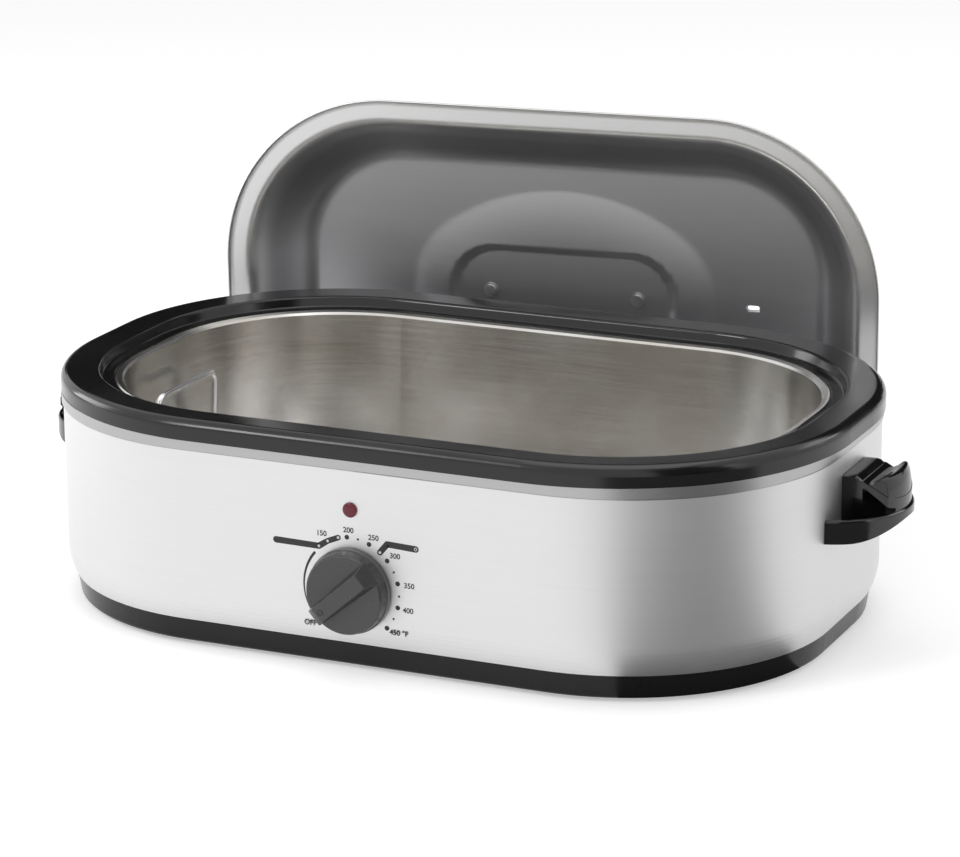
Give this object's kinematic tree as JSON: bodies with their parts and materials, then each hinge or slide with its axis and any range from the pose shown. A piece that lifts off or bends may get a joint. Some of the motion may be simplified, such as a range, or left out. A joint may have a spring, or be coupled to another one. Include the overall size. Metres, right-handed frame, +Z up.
{
  "type": "electric roaster oven",
  "caption": "Countertop electric roaster oven: long round-cornered steel housing, lift-out pan and rack, front dial, side handles, and a domed lid stood behind it.",
  "frame": {"origin": "on the table under the middle of the housing; the base's underside is 2.5 mm higher, on rubber feet", "axes": "+Z up, -Y towards the front with the dial, +X to the right seen from the front"},
  "size_m": [0.6278, 0.4827, 0.3],
  "materials": {
    "base_black": "gloss black moulding",
    "rubber_black": "matte moulded rubber",
    "zinc_steel": "plain zinc-plated steel",
    "shield_aluminium": "rolled sheet",
    "well_grey": "dark grey enamel",
    "heater_tape": "woven glass tape over resistance wire",
    "blanket_fibre": "needled mineral fibre",
    "housing_steel": "fine satin stainless sheet",
    "trim_steel": "rolled grey bead",
    "collar_black": "high-gloss black",
    "phenolic_brown": "moulded phenolic",
    "brass_plain": "turned brass",
    "knob_grey": "satin moulded dark grey",
    "lens_red": "clear dark red moulding",
    "lamp_glass": "small neon tube",
    "handle_black": "gloss black moulding",
    "gland_black": "moulded nylon",
    "terminal_ceramic": "unglazed steatite",
    "pan_steel": "polished stainless sheet",
    "rack_chrome": "bright plated wire",
    "lid_steel": "grey satin stainless sheet"
  },
  "bodies": {
    "housing": {"base_pan": "base_black", "rubber_feet": "rubber_black", "base_screws": "zinc_steel", "base_posts": "zinc_steel", "heat_shield": "shield_aluminium", "heating_well": "well_grey", "weld_nuts": "zinc_steel", "heating_bands": "heater_tape", "band_clips": "zinc_steel", "insulation_blanket": "blanket_fibre", "outer_shell": "housing_steel", "trim_band": "trim_steel", "rim_collar": "collar_black", "thermostat_body": "phenolic_brown", "thermostat_bracket": "zinc_steel", "thermostat_nut": "brass_plain", "thermostat_tabs": "brass_plain", "indicator_lens": "lens_red", "indicator_clip": "zinc_steel", "neon_lamp": "lamp_glass", "left_handle": "handle_black", "right_handle": "handle_black", "handle_plates": "zinc_steel", "handle_screws": "zinc_steel", "cord_gland": "gland_black", "gland_nut": "gland_black", "terminal_block": "terminal_ceramic", "terminal_screws": "brass_plain"},
    "knob": {"control_knob": "knob_grey", "thermostat_shaft": "brass_plain", "knob_spring": "zinc_steel"},
    "pan": {"roasting_pan": "pan_steel"},
    "rack": {"roasting_rack": "rack_chrome"},
    "lid": {"lid_shell": "lid_steel", "lid_handle": "handle_black", "lid_washers": "zinc_steel", "lid_screws": "zinc_steel"}
  },
  "joints": [
    {"name": "knob_turn", "type": "hinge", "parent": "housing", "child": "knob", "pos_m": [-0.003, -0.1799, 0.057], "axis": [0, 1, 0], "range_deg": [0, 263]},
    {"name": "pan_lift", "type": "slide", "parent": "housing", "child": "pan", "axis": [0, 0, 1], "range_m": [0, 0.16]},
    {"name": "rack_lift", "type": "slide", "parent": "pan", "child": "rack", "axis": [0, 0, 1], "range_m": [0, 0.14]},
    {"name": "lid_lift", "type": "slide", "parent": "housing", "child": "lid", "axis": [0, 0, 1], "range_m": [0, 0.18]}
  ]
}
